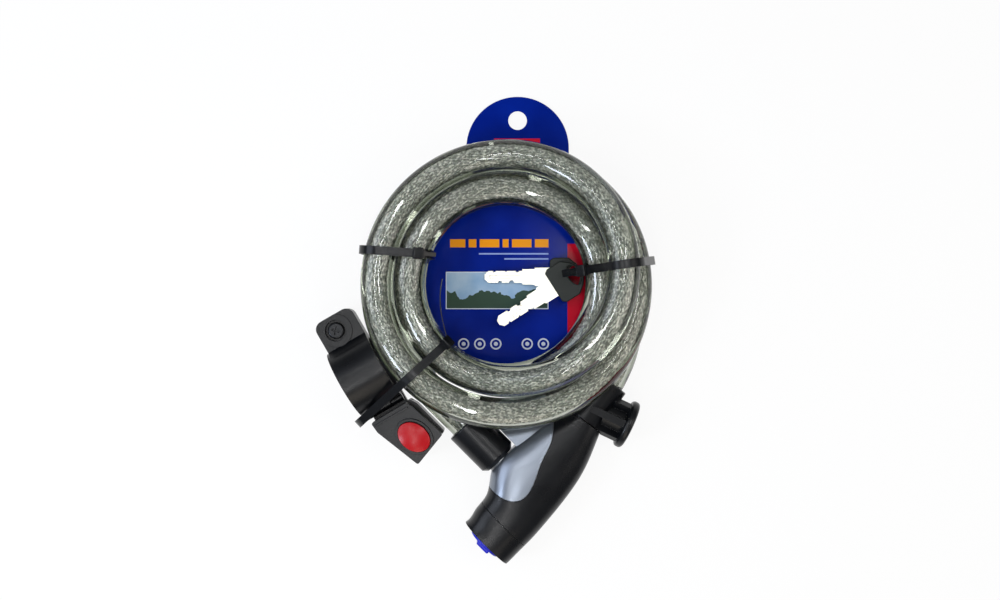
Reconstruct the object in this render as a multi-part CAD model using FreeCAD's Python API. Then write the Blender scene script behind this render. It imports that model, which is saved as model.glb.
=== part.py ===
import FreeCAD, Part
import math
import os

from FreeCAD import Placement, Rotation, Vector

# Coiled bicycle cable lock, tied up as it is sold: a steel cable in a clear jacket, wound
# in just under four turns, a key lock head on one end, a ferrule with a locking pin on the
# other, the frame bracket, two keys and a hanger card. Everything lies on the plane z = 0.
# Lengths are millimetres and angles are degrees.

# Cable
cable_d = 18.0
core_d = 8.0
core_fit = 0.05
turn_gap = 0.5
inner_lane = 55.4
card_thickness = 0.5
card_height = 1.3
cable_over_card = 0.3
lead_slope = 1.13
lead_inside_head = 15.059
collar_beyond_head = 24.687
lead_in_end = 65.0
lead_cut_angle = 9.0
leave_angle = 1305.0
tail_run = 41.0
head_axis_height = 14.5
ferrule_clearance = 9.7
crest_rise = 13.0
outer_bulge = 1.4
span_angle = 36.0

# Lock head, along its own axis from the key end
head_length = 92.0
head_wall = 2.4
end_cap_length = 14.8
seam = 0.3
boss_face = 27.8
pin_place = 39.6
pin_d = 12.0
pin_length = 24.0
pin_fit = 0.15
groove_place = 13.2
groove_width = 2.8
groove_d = 7.2
latch_thickness = 2.2
latch_hole_d = 12.6
cam_offset = 1.77
cam_pin_d = 2.6
cam_slot_fit = 0.15
plug_d = 12.6
plug_fit = 0.06
cylinder_d = 20.0
plug_face_d = 20.4
plug_face_rise = 2.0
plug_bar_rise = 1.7
key_slot = (2.6, 8.8)

# Collar, stud and ferrule
collar_d = 23.2
collar_length = 27.0
jacket_fit = 0.15
stud_place = 18.7
stud_turn = -78.2
stud_neck_d = 16.6
stud_rib_d = 24.6
stud_rib_width = 4.2
stud_rib_count = 6
stud_flange_d = 28.4
stud_flange_start = 20.7
stud_flange_thickness = 5.0
ferrule_d = 23.7
ferrule_length = 28.6
ferrule_chamfer = 2.4
jacket_depth = 12.0
crimp_d = 14.0
ferrule_seat = 0.6

# Frame bracket
tube_d = 31.8
liner_thickness = 1.0
band_wall = 3.6
band_width = 25.6
split_gap = 0.8
bracket_angle = 30.0
bracket_centre = (-80.9, -51.86)
lug_reach = 17.9
lug_width = 24.0
lug_thickness = 7.0
lug_screw_reach = 9.2
clamp_screw_d = 5.0
clamp_screw_head_d = 9.5
clamp_screw_recess = 3.2
hinge_reach = 1.1
hinge_barrel_d = 5.2
hinge_pin_d = 2.4
holder_bottom = 7.5
holder_split = 20.5
holder_top = 31.5
button_from_band = (7.9, 24.4)
button_turn = -66.0
button_length = 19.8
button_width = 14.8
button_rise = 3.4
button_travel = 2.5
button_fit = 0.3
spring_d = 6.6
spring_wire = 0.8
spring_turns = 5

# The ring's middle in the part's own frame, whose origin is under the middle of the whole
ring_centre = (11.3, 25.5)

# Ties, keys and card
tie_width = 4.8
tie_thickness = 1.2
tie_slack = 0.85
key_thickness = 2.2
bow_thickness = 3.5
key_hole = (7.4, 13.0)
key_blade_width = 7.0
peg_hole_d = 11.0
peg_hole_height = 96.6
card_middle = 7.5

turn_step = cable_d + turn_gap
lead_out = tail_run + ferrule_length + ferrule_seat + boss_face - lead_inside_head
lead_along = head_length + collar_beyond_head - pin_place - inner_lane - turn_step
lead_radius = math.hypot(lead_out, lead_along)
lead_angle = leave_angle % 360 - 270 + math.degrees(math.atan2(lead_along, lead_out))
cable_floor = card_height + card_thickness + cable_over_card
rear_height = cable_floor + cable_d / 2
front_height = rear_height + turn_step
ferrule_cross_height = head_axis_height + ferrule_d / 2 + ferrule_clearance
up = Vector(0, 0, 1)


def ease(angle, start, end, start_slope=0.0):
    """0 before start, 1 after end and a smooth rise between them."""
    t = min(max((angle - start) / (end - start), 0.0), 1.0)
    return t * t * (3 - 2 * t) + start_slope * t * (1 - t) ** 2


def coil_radius(angle):
    """Distance of the cable's middle from the ring's axis, after so many degrees of turning."""
    radius = lead_radius - (lead_radius - inner_lane) * ease(
        angle, lead_angle, lead_in_end, lead_slope
    )
    radius += turn_step * ease(angle, 620, 800)
    return radius + outer_bulge * (ease(angle, 980, 1050) - ease(angle, 1080, 1160))


def coil_height(angle):
    """Height of the cable's middle: rear layer, front layer, over the head and down again."""
    height = rear_height
    height += (head_axis_height - rear_height) * (1 - ease(angle, lead_angle, 10))
    height += turn_step * ease(angle, 270, 390)
    height += crest_rise * 1.5 * (ease(angle, 590, 685) - ease(angle, 730, 825))
    over = ferrule_cross_height - front_height
    height += over * (ease(angle, 880, 950) - ease(angle, 1035, 1090))
    height -= turn_step * ease(angle, 1095, 1178)
    return height + (head_axis_height - rear_height) * ease(angle, 1250, 1305)


def coil_point(angle):
    turn = math.radians(angle)
    radius = coil_radius(angle)
    return Vector(radius * math.cos(turn), radius * math.sin(turn), coil_height(angle))


def coil_heading(angle):
    small = 0.5
    return (coil_point(angle + small) - coil_point(angle - small)).normalize()


def level(direction):
    return Vector(direction.x, direction.y, 0).normalize()


def biarc(start, start_heading, end, end_heading):
    """Two arcs that leave and arrive along the given headings and meet smoothly."""
    chord = end - start
    both = start_heading + end_heading
    a = 2 * (1 - start_heading.dot(end_heading))
    b = 2 * chord.dot(both)
    c = -chord.dot(chord)
    if abs(a) < 1e-9:
        reach = -c / b
    else:
        reach = (-b + math.sqrt(b * b - 4 * a * c)) / (2 * a)
    first_corner = start + start_heading * reach
    last_corner = end - end_heading * reach
    middle = (first_corner + last_corner) * 0.5
    edges = []
    for a_end, corner, b_end in ((start, first_corner, middle), (middle, last_corner, end)):
        to_middle = ((a_end - corner).normalize() + (b_end - corner).normalize())
        if to_middle.Length < 1e-5:
            edges.append(Part.makeLine(a_end, b_end))
            continue
        half = (a_end - corner).getAngle(b_end - corner) / 2
        radius = reach * math.tan(half)
        centre = corner + to_middle.normalize() * (reach / math.cos(half))
        via = centre + (corner - centre).normalize() * radius
        edges.append(Part.Arc(a_end, via, b_end).toShape())
    return edges


def turn_edges(first_angle, last_angle):
    """Biarcs along the coil between two angles."""
    count = max(1, round((last_angle - first_angle) / span_angle))
    step = (last_angle - first_angle) / count
    edges = []
    for i in range(count):
        a = first_angle + i * step
        b = a + step
        heading_a = level(coil_heading(a)) if a in level_ends else coil_heading(a)
        heading_b = level(coil_heading(b)) if b in level_ends else coil_heading(b)
        edges += biarc(coil_point(a), heading_a, coil_point(b), heading_b)
    return edges


level_ends = (lead_angle, leave_angle)
lead_point = coil_point(lead_angle)
lead_heading = level(coil_heading(lead_angle))
leave_point = coil_point(leave_angle)
leave_heading = level(coil_heading(leave_angle))
ferrule_mouth = leave_point + leave_heading * tail_run


def round_tube(edges, outer_d, bore_d=0.0):
    """A solid along a chain of edges, with a bore if one is given."""
    path = Part.Wire(edges)
    start = edges[0].valueAt(edges[0].FirstParameter)
    heading = edges[0].tangentAt(edges[0].FirstParameter)
    solids = []
    for diameter in (outer_d, bore_d):
        if diameter:
            ring = Part.Wire([Part.makeCircle(diameter / 2, start, heading)])
            shell = Part.BRepOffsetAPI.MakePipeShell(path)
            shell.add(ring)
            shell.build()
            shell.makeSolid()
            solids.append(Part.Solid(shell.shape()))
    return solids[0].cut(solids[1]) if bore_d else solids[0]


def points_along(edges, step):
    """Points along the edges, about a step apart."""
    points = []
    for edge in edges:
        count = max(2, math.ceil(edge.Length / step) + 1)
        points += edge.discretize(Number=count)[:-1]
    return points


def least_gap(edges, diameter, step=2.0):
    """The smallest clearance between two turns, found on points a step apart."""
    points = points_along(edges, step)
    apart = int(5 * diameter / step)
    best = 1e9
    for i, p in enumerate(points):
        for q in points[i + apart :]:
            best = min(best, (p - q).Length)
    return best - diameter


def cylinder(base, axis, diameter, length):
    return Part.makeCylinder(diameter / 2, length, base, axis)


def block(x, y, z):
    """A box between pairs of coordinates."""
    return Part.makeBox(x[1] - x[0], y[1] - y[0], z[1] - z[0], Vector(x[0], y[0], z[0]))


def rounded_plate(corners, bottom, top, radius):
    """An upright prism on a polygon with its upright edges rounded."""
    ring = [Vector(x, y, bottom) for x, y in corners]
    plate = Part.Face(Part.makePolygon(ring + ring[:1])).extrude(Vector(0, 0, top - bottom))
    upright = [
        e for e in plate.Edges if abs(e.tangentAt(e.FirstParameter).z) > 0.99
    ]
    return plate.makeFillet(radius, upright)


def oval(centre, length, width, bottom, top):
    """An upright oval prism, its length along x, with its centre at x, y."""
    ring = Part.Ellipse(Vector(0, 0, 0), length / 2, width / 2).toShape()
    solid = Part.Face(Part.Wire([ring])).extrude(Vector(0, 0, top - bottom))
    solid.translate(Vector(centre[0], centre[1], bottom))
    return solid


# The lock head's frame: x runs from the key end up the straight part of the head, y points
# to the ferrule, and the ferrule's axis is the line on which the cable leaves the coil.
head_turn = leave_angle % 360 - 180
head_x = Vector(math.cos(math.radians(head_turn)), math.sin(math.radians(head_turn)), 0)
head_y = up.cross(head_x)
head_origin = (
    ferrule_mouth
    - head_x * pin_place
    - head_y * (boss_face + ferrule_seat + ferrule_length)
)
head_origin.z = 0
head_place = Placement(head_origin, Rotation(up, head_turn))


def in_head(point):
    """A point of the ring's frame, in the head's frame."""
    return head_place.inverse().multVec(point)


def head_section(x, right, left, half_height):
    """A rounded section of the head across x, as a closed smooth outline."""
    middle = (left + right) / 2
    half_width = (left - right) / 2
    points = []
    count = 24
    roundness = 0.8
    for i in range(count):
        turn = 2 * math.pi * i / count
        across = math.copysign(abs(math.cos(turn)) ** roundness, math.cos(turn))
        rise = math.copysign(abs(math.sin(turn)) ** roundness, math.sin(turn))
        points.append(
            Vector(x, middle + half_width * across, head_axis_height + half_height * rise)
        )
    outline = Part.BSplineCurve()
    outline.interpolate(Points=points, PeriodicFlag=True)
    return Part.Wire([outline.toShape()])


# Share of the head's length, its right and left side and half its height there.
head_stations = (
    (0.0, -17.0, 16.6, 13.9),
    (0.076, -17.1, 17.2, 14.1),
    (0.152, -17.1, 18.2, 14.3),
    (0.25, -17.0, 21.0, 14.4),
    (0.335, -16.5, 26.6, 14.4),
    (0.413, -15.9, 29.8, 14.3),
    (0.543, -14.6, 29.6, 13.9),
    (0.674, -12.6, 27.6, 13.2),
    (0.826, -8.4, 24.6, 12.4),
    (1.0, -1.6, 21.4, 11.9),
)
# The flank that closes the corner between the ferrule and the coil: share and left side.
flank_stations = ((0.54, 45.2), (0.62, 39.6), (0.70, 34.6), (0.80, 27.0), (0.90, 19.0))
flank_start = pin_place + ferrule_d / 2 + 0.75
flank_half_height = 7.4


def head_form(inset, first_x, last_x):
    """The head's outer form, drawn in by an inset, between two planes across it."""
    wires = [
        head_section(share * head_length, right + inset, left - inset, half - inset)
        for share, right, left, half in head_stations
    ]
    solid = Part.makeLoft(wires, True, False, False, 3)
    big = 60
    flat = block((-big, head_length + big), (-big, boss_face - inset), (-big, big))
    flank_wires = [
        head_section(share * head_length, 4 + inset, left - inset, flank_half_height - inset)
        for share, left in flank_stations
    ]
    flank = Part.makeLoft(flank_wires, True, False, False, 3)
    flank = flank.common(block((flank_start + inset, head_length), (-big, big), (-big, big)))
    slab = block((first_x, last_x), (-big, big), (-big, big))
    return solid.common(flat).fuse(flank).common(slab)


# The collar's own line: it carries the straight end of the cable into the head's top end.
collar_inner = lead_point - lead_heading * collar_length
cable_into_head = 6.0
jacket_start = collar_inner - lead_heading * cable_into_head
anchor_length = 18.0
jacket_end = collar_length + cable_into_head
anchor_end = jacket_end + anchor_length
core_start = lead_point - lead_heading * (anchor_end - 2.1)


def head_top_cut(solid, back):
    """Keeps the part of a head piece that lies below the collar, less a set-back."""
    point = in_head(collar_inner) - in_head_direction(lead_heading) * back
    return solid.common(half_space(point, in_head_direction(lead_heading)))


def in_head_direction(direction):
    return head_place.Rotation.inverted().multVec(direction)


def half_space(point, outward):
    """A big block behind a plane."""
    big = 400
    slab = Part.makeBox(big, big, big, Vector(-big / 2, -big / 2, -big))
    slab.Placement = Placement(point, Rotation(up, outward))
    return slab


def leaf_prism(grow):
    """The upright form whose inside is the silver panel of the head."""
    edge = (
        (84.0, 31.0),
        (76.6, 21.8),
        (66.9, 15.0),
        (57.3, 11.8),
        (45.6, 6.4),
        (38.6, 4.2),
        (31.6, 5.0),
        (26.9, 10.4),
        (24.6, 21.0),
        (24.2, 31.0),
    )
    points = []
    centre = Vector(52, 31, 0)
    for x, y in edge:
        point = Vector(x, y, 0)
        points.append(point + (point - centre).normalize() * grow)
    curve = Part.BSplineCurve()
    curve.interpolate(points)
    beyond = 50.0
    corners = [points[-1], Vector(points[-1].x, beyond, 0), Vector(points[0].x, beyond, 0), points[0]]
    sides = [Part.makeLine(a, b) for a, b in zip(corners, corners[1:])]
    face = Part.Face(Part.Wire([curve.toShape()] + sides))
    tall = 2 * head_axis_height + 10
    solid = face.extrude(Vector(0, 0, tall))
    solid.translate(Vector(0, 0, -5))
    return solid


def pin_axis_cylinder(diameter, first_y, last_y):
    """A cylinder on the locking pin's axis, in the head's frame."""
    base = Vector(pin_place, first_y, head_axis_height)
    return cylinder(base, Vector(0, 1, 0), diameter, last_y - first_y)


def axis_cylinder(diameter, first_x, last_x):
    """A cylinder on the key plug's axis, in the head's frame."""
    base = Vector(first_x, 0, head_axis_height)
    return cylinder(base, Vector(1, 0, 0), diameter, last_x - first_x)


def anchor_axis(diameter, first, last):
    """A cylinder on the collar's line, in the head's frame, measured back from the mouth."""
    start = in_head(lead_point - lead_heading * last)
    return cylinder(start, in_head_direction(lead_heading), diameter, last - first)


cover_screw_places = ((21.0, 0.0, 1.6, 4.3), (56.0, 5.0, 2.2, 11.0))


def make_head():
    """The lock head's pieces, in the head's frame."""
    pieces = {}
    beyond = head_length + 30
    shell = head_form(0, 0, beyond).cut(head_form(head_wall, 3.0, beyond))
    shell = head_top_cut(shell, 0.1)
    jacket_bore = anchor_axis(cable_d + 2 * jacket_fit, collar_length - 4, jacket_end)
    shell = shell.cut(jacket_bore)
    cap_front = head_form(0, 0, 3.2)
    leaf = leaf_prism(0)
    leaf_gap = leaf_prism(0.25)
    beyond_cap = block((end_cap_length + seam, 1.5 * beyond), (-60, 60), (-10, 50))
    cover = shell.common(beyond_cap).cut(leaf_gap)
    for x, y, seat, _ in cover_screw_places:
        cover = cover.cut(cylinder(Vector(x, y, 0), up, 6.2, seat + 0.05))
        cover = cover.cut(cylinder(Vector(x, y, 0), up, 3.1, 8))
    pieces["head_cover"] = biggest(cover)
    trim = shell.common(beyond_cap).common(leaf)
    trim = trim.cut(pin_axis_cylinder(16.4, 10, 40))
    pieces["silver_trim"] = biggest(trim)
    cap = shell.fuse(cap_front).common(block((0, end_cap_length), (-60, 60), (-10, 50)))
    cap = cap.cut(axis_cylinder(plug_face_d + 0.5, -1, 5))
    pieces["end_cap"] = biggest(cap.removeSplitter())

    case_form = head_top_cut(head_form(head_wall + 0.15, 3.35, beyond), 0.6)
    case = case_form.cut(axis_cylinder(cylinder_d + 0.1, 2, 27.2))
    case = case.cut(jacket_bore).cut(anchor_axis(14.1, collar_length, anchor_end + 0.1))
    case = case.cut(axis_cylinder(plug_d + 3, 27, 38.0))
    case = case.cut(pin_axis_cylinder(pin_d + 2 * pin_fit, 1.0, 30))
    case = case.cut(pin_axis_cylinder(16.1, 17.6, 30))
    latch_first = groove_place - latch_thickness / 2 - 0.15
    latch_last = groove_place + latch_thickness / 2 + 0.15
    case = case.cut(block((27.0, 51.0), (latch_first, latch_last), (4.6, 25.3)))
    case = case.cut(block((30.4, 36.0), (-5.0, latch_last), (7.0, 23.6)))
    for x, y, _, screw_top in cover_screw_places:
        case = case.cut(cylinder(Vector(x, y, 0), up, 2.9, screw_top + 1.0))
    pieces["lock_case"] = biggest(case)

    screws = []
    for x, y, seat, screw_top in cover_screw_places:
        head = cylinder(Vector(x, y, seat - 1.2), up, 5.6, 1.2)
        head = head.cut(block((x - 0.4, x + 0.4), (y - 4, y + 4), (0, seat - 0.6)))
        screws.append(head.fuse(cylinder(Vector(x, y, seat), up, 2.8, screw_top - seat)))
    pieces["cover_screws"] = Part.makeCompound(screws)

    housing = axis_cylinder(cylinder_d, 3.6, 27.0)
    housing = housing.cut(axis_cylinder(plug_d + 2 * plug_fit, 0, 30))
    low, high = head_axis_height - 8.2, head_axis_height + 8.2
    housing = housing.cut(block((5.0, 24.0), (-3.3, 5.4), (low, high)))
    pieces["cylinder_housing"] = housing

    bush = pin_axis_cylinder(16.0, 17.8, boss_face - 0.1)
    pieces["pin_socket"] = bush.cut(pin_axis_cylinder(pin_d + 2 * pin_fit, 0, 40))

    anchor = anchor_axis(14.0, jacket_end + 0.1, anchor_end)
    pieces["cable_anchor"] = anchor.cut(anchor_axis(core_d + 0.1, 20, anchor_end - 2))
    return pieces


def make_plug():
    """The turning pieces of the cylinder: plug, blue face, wafers, springs, in the head's frame."""
    z = head_axis_height
    pieces = {}
    half_width, half_height = key_slot[0] / 2, key_slot[1] / 2
    slot = block((-6, 26.5), (-half_width, half_width), (z - half_height, z + half_height))
    plug = axis_cylinder(plug_d, 3.4, 28.0).fuse(axis_cylinder(plug_d + 1.4, 28.2, 30.6))
    plug = plug.fuse(axis_cylinder(plug_d - 1.4, 27.9, 28.3))
    turn = math.radians(-45)
    pin_base = Vector(30.4, cam_offset * math.cos(turn), z + cam_offset * math.sin(turn))
    plug = plug.fuse(cylinder(pin_base, Vector(1, 0, 0), cam_pin_d, 3.6))
    plug = plug.cut(slot)
    wafers = []
    springs = []
    for i in range(5):
        x = 7.0 + 3.4 * i
        plug = plug.cut(block((x, x + 1.4), (-3.0, 5.0), (z - 8, z + 8)))
        wafer = block((x + 0.1, x + 1.3), (-2.9, 2.9), (z - 5.4, z + 5.4))
        wafer = wafer.fuse(block((x + 0.1, x + 1.3), (2.8, 4.9), (z + 0.6, z + 2.0)))
        wafer = wafer.cut(block((x - 1, x + 3), (-1.7, 1.7), (z - 3.7, z + 3.7)))
        wafers.append(wafer)
        springs.append(cylinder(Vector(x + 0.7, 4.0, z - 3.6), up, 1.1, 4.15))
    pieces["key_plug"] = biggest(plug)
    pieces["wafers"] = Part.makeCompound(wafers)
    pieces["wafer_springs"] = Part.makeCompound(springs)
    face = axis_cylinder(plug_face_d, -plug_face_rise, 3.2)
    rims = [e for e in face.Edges if e.Closed and e.CenterOfMass.x < 0]
    face = face.makeFillet(0.8, rims)
    bar_front = -plug_face_rise - plug_bar_rise
    bar = block((bar_front, 0), (-4.4, 4.4), (z - 8.6, z + 8.6))
    rounds = [
        e for e in bar.Edges
        if abs(e.tangentAt(0).x) > 0.9 or abs(e.CenterOfMass.x - bar_front) < 0.01
    ]
    bar = bar.makeFillet(0.9, rounds)
    face = face.fuse(bar).cut(slot)
    face = face.cut(block((bar_front - 0.1, bar_front + 1.0), (-2.1, 2.1), (z - 5.2, z + 5.2)))
    pieces["plug_face"] = biggest(face)
    return pieces


def make_latch():
    """The sliding latch plate with its yoke, in the head's frame, at the open position."""
    z = head_axis_height
    first = groove_place - latch_thickness / 2
    last = groove_place + latch_thickness / 2
    plate = block((27.6, 50.2), (first, last), (z - 8.6, z + 8.0))
    plate = plate.cut(pin_axis_cylinder(latch_hole_d, 0, 30))
    arm = block((31.2, 33.3), (-2.2, first + 0.5), (z - 4.8, z + 3.4))
    turn = math.radians(-45)
    mid_z = z + cam_offset * math.sin(turn)
    reach = cam_pin_d / 2 + cam_slot_fit
    slot_y = (cam_offset * math.cos(turn) - reach - 0.1, cam_offset + reach + 0.1)
    slot = block((31, 36), slot_y, (mid_z - reach, mid_z + reach))
    return {"latch_plate": plate.fuse(arm).cut(slot).removeSplitter()}


def make_collar():
    """The collar on the cable, and the ribbed stud that carries the lock on its bracket."""
    start = collar_inner + lead_heading * 0.1
    collar = cylinder(start, lead_heading, collar_d, collar_length - 0.1)
    rims = [e for e in collar.Edges if e.Closed]
    collar = collar.makeFillet(0.8, rims)
    bore_d = cable_d + 2 * jacket_fit
    collar = collar.cut(cylinder(start - lead_heading, lead_heading, bore_d, collar_length + 2))
    root = lead_point - lead_heading * stud_place
    axis = Rotation(up, stud_turn).multVec(lead_heading)
    saddle_d = collar_d + 0.06
    neck_end = stud_flange_start + 0.5
    head_clear = head_form(-0.3, 50, head_length + 30)
    head_clear = head_top_cut(head_clear, -0.2)
    head_clear.Placement = head_place.multiply(head_clear.Placement)
    neck = cylinder(root, axis, stud_neck_d, neck_end)
    along_stud = Rotation(up, axis)
    above = along_stud.inverted().multVec(up)
    first_rib = math.degrees(math.atan2(above.y, above.x))
    depth = (stud_rib_d - stud_neck_d) / 2 + 0.8
    for i in range(stud_rib_count):
        turn = first_rib + 360.0 * i / stud_rib_count
        corner = Vector(stud_rib_d / 2 - depth, -stud_rib_width / 2, 0)
        rib = Part.makeBox(depth, stud_rib_width, neck_end, corner)
        rib.Placement = Placement(root, along_stud).multiply(
            Placement(Vector(0, 0, 0), Rotation(up, turn))
        )
        neck = neck.fuse(rib)
    flange_foot = root + axis * stud_flange_start
    flange = cylinder(flange_foot, axis, stud_flange_d, stud_flange_thickness)
    rims = [e for e in flange.Edges if e.Closed]
    flange = flange.makeFillet(2.0, rims)
    stud = neck.fuse(flange).cut(head_clear)
    saddle = cylinder(start - lead_heading * 20, lead_heading, saddle_d, collar_length + 40)
    stud = stud.cut(saddle)
    well = cylinder(flange_foot - axis * 2, axis, 11.0, stud_flange_thickness + 4)
    stud = biggest(stud.cut(well).cut(cylinder(root, axis, 4.2, 60)))
    collar = collar.cut(cylinder(root, axis, 3.4, 20))
    screw_seat = stud_flange_start - 2
    screw = cylinder(root + axis * screw_seat, axis, 7.6, 2.6)
    screw = screw.cut(cylinder(root + axis * (screw_seat + 1.0), axis, 3.4, 3))
    shank_start = cable_d / 2 + jacket_fit + 0.9
    shank = cylinder(root + axis * shank_start, axis, 3.3, screw_seat - shank_start + 0.5)
    screw = screw.fuse(shank)
    return {"collar_sleeve": biggest(collar), "mount_stud": stud, "stud_screw": biggest(screw)}


def make_ferrule():
    """The ferrule on the cable's free end, with its crimp and its grooved locking pin."""
    heading = leave_heading

    def along(first, last, diameter):
        """A cylinder on the ferrule's line, between two distances from its mouth."""
        return cylinder(ferrule_mouth + heading * first, heading, diameter, last - first)

    def rim_at(solid, distance):
        """The round edges of a solid at a distance from the mouth."""
        spot = ferrule_mouth + heading * distance
        return [e for e in solid.Edges if e.Closed and (e.CenterOfMass - spot).Length < 1]

    sleeve = along(0, ferrule_length, ferrule_d)
    sleeve = sleeve.makeChamfer(ferrule_chamfer, rim_at(sleeve, ferrule_length))
    sleeve = sleeve.makeFillet(0.8, rim_at(sleeve, 0))
    sleeve = sleeve.cut(along(-1, jacket_depth, cable_d + 2 * jacket_fit))
    sleeve = sleeve.cut(along(0, ferrule_length - 2.4, crimp_d + 0.1))
    sleeve = sleeve.cut(along(0, ferrule_length + 5, pin_d + 0.1))
    crimp = along(jacket_depth + 0.1, ferrule_length - 2.6, crimp_d)
    crimp = crimp.cut(along(0, ferrule_length - 6.0, core_d + 0.1))
    pin_end = ferrule_length + ferrule_seat + pin_length
    pin = along(ferrule_length - 2.5, pin_end, pin_d)
    pin = pin.makeChamfer(1.4, rim_at(pin, pin_end))
    groove_start = ferrule_length + ferrule_seat + boss_face - groove_place - groove_width / 2
    groove_end = groove_start + groove_width
    groove = along(groove_start, groove_end, pin_d + 4)
    groove = groove.cut(along(groove_start - 1, groove_end + 1, groove_d))
    pin = pin.cut(groove)
    return {"ferrule_sleeve": sleeve, "ferrule_crimp": crimp, "locking_pin": pin}


jacket_into_ferrule = jacket_depth - 0.1
core_into_ferrule = ferrule_length - 6.6


def make_cable():
    """Jacket and core of the lead, which bends with the head, and of the tied coil."""
    lead = turn_edges(lead_angle, lead_cut_angle)
    coil = turn_edges(lead_cut_angle, leave_angle)
    ferrule_end = ferrule_mouth + leave_heading * jacket_into_ferrule
    jacket_lead = [Part.makeLine(jacket_start, lead_point)] + lead
    jacket_coil = coil + [Part.makeLine(leave_point, ferrule_end)]
    core_lead = [Part.makeLine(core_start, lead_point)] + lead
    core_end = ferrule_mouth + leave_heading * core_into_ferrule
    core_coil = coil + [Part.makeLine(leave_point, core_end)]
    bore = core_d + 2 * core_fit
    whole = jacket_lead + jacket_coil
    radii = [e.Curve.Radius for e in whole if hasattr(e.Curve, "Radius")]
    lengths = sum(e.Length for e in whole), sum(e.Length for e in jacket_lead)
    print("cable length %.1f, of which lead %.1f" % lengths)
    print("least gap between turns %.2f" % least_gap(whole, cable_d))
    print("arc radii %s" % sorted(set(round(r, 1) for r in radii)))
    pieces = {
        "lead_jacket": round_tube(jacket_lead, cable_d, bore),
        "lead_core": round_tube(core_lead, core_d),
        "cable_jacket": round_tube(jacket_coil, cable_d, bore),
        "cable_core": round_tube(core_coil, core_d),
    }
    section = math.pi / 4 * (cable_d**2 - bore**2)
    for name, edges in (("lead_jacket", jacket_lead), ("cable_jacket", jacket_coil)):
        length = sum(e.Length for e in edges)
        share = pieces[name].Volume / section / length
        print("%s volume over section times length %.4f" % (name, share))
    return pieces, whole


def biggest(shape):
    """The largest solid of a shape."""
    return max(shape.Solids, key=lambda s: s.Volume)


# The bracket's frame: x along the tube that it clamps, y from the catch to the clamp screw.
band_radius = tube_d / 2 + liner_thickness + band_wall
lug_end = band_radius + lug_reach
lug_screw_place = (-1.0, band_radius + lug_screw_reach)
hinge_place = band_radius + hinge_reach
button_place = (button_from_band[0], -band_radius - button_from_band[1])
tongue_reach = band_radius + 10.5
tongue_screw_place = band_radius + 7.5
neck_reach = band_radius + 6.6
bracket_place = Placement(
    Vector(bracket_centre[0], bracket_centre[1], 0), Rotation(up, bracket_angle)
)


def band_cylinder(radius, half_width):
    """A cylinder on the axis of the clamped tube, in the bracket's frame."""
    base = Vector(-half_width, 0, band_radius)
    return cylinder(base, Vector(1, 0, 0), 2 * radius, 2 * half_width)


def along_x(y, z, diameter, first_x, last_x):
    return cylinder(Vector(first_x, y, z), Vector(1, 0, 0), diameter, last_x - first_x)


def catch_oval(grow, bottom, top):
    """An oval prism on the button's place, grown all round, in the bracket's frame."""
    solid = oval((0, 0), button_length + 2 * grow, button_width + 2 * grow, bottom, top)
    return to_button(solid)


def to_button(solid):
    """Turns a piece so that its x axis runs from the button to the mouth of the catch."""
    place = Placement(Vector(button_place[0], button_place[1], 0), Rotation(up, button_turn))
    solid.Placement = place.multiply(solid.Placement)
    return solid


# Across the holder and out from the band, for each corner of its outline.
holder_outline = (
    (-9.8, 5.7),
    (13.2, 5.4),
    (15.4, 9.1),
    (22.4, 31.4),
    (1.7, 39.3),
    (-9.1, 12.2),
)
holder_corners = [(x, -band_radius - out) for x, out in holder_outline]
base_outline = (
    (-9.8, 5.7),
    (15.4, 5.1),
    (17.8, 9.1),
    (23.6, 30.9),
    (1.7, 39.3),
    (-9.1, 12.2),
)
base_corners = [(x, -band_radius - out) for x, out in base_outline]


def inset_corners(corners, inset):
    """A polygon drawn in by the same amount on every side."""
    count = len(corners)
    lines = []
    for i in range(count):
        a = Vector(corners[i][0], corners[i][1], 0)
        b = Vector(corners[(i + 1) % count][0], corners[(i + 1) % count][1], 0)
        inward = up.cross((b - a).normalize()) * -1
        lines.append((a + inward * inset, (b - a).normalize()))
    result = []
    for i in range(count):
        p, d = lines[i - 1]
        q, e = lines[i]
        t = ((q - p).cross(e)).z / d.cross(e).z
        corner = p + d * t
        result.append((corner.x, corner.y))
    return result


neck_sides = (-8.6, 13.4)


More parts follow.
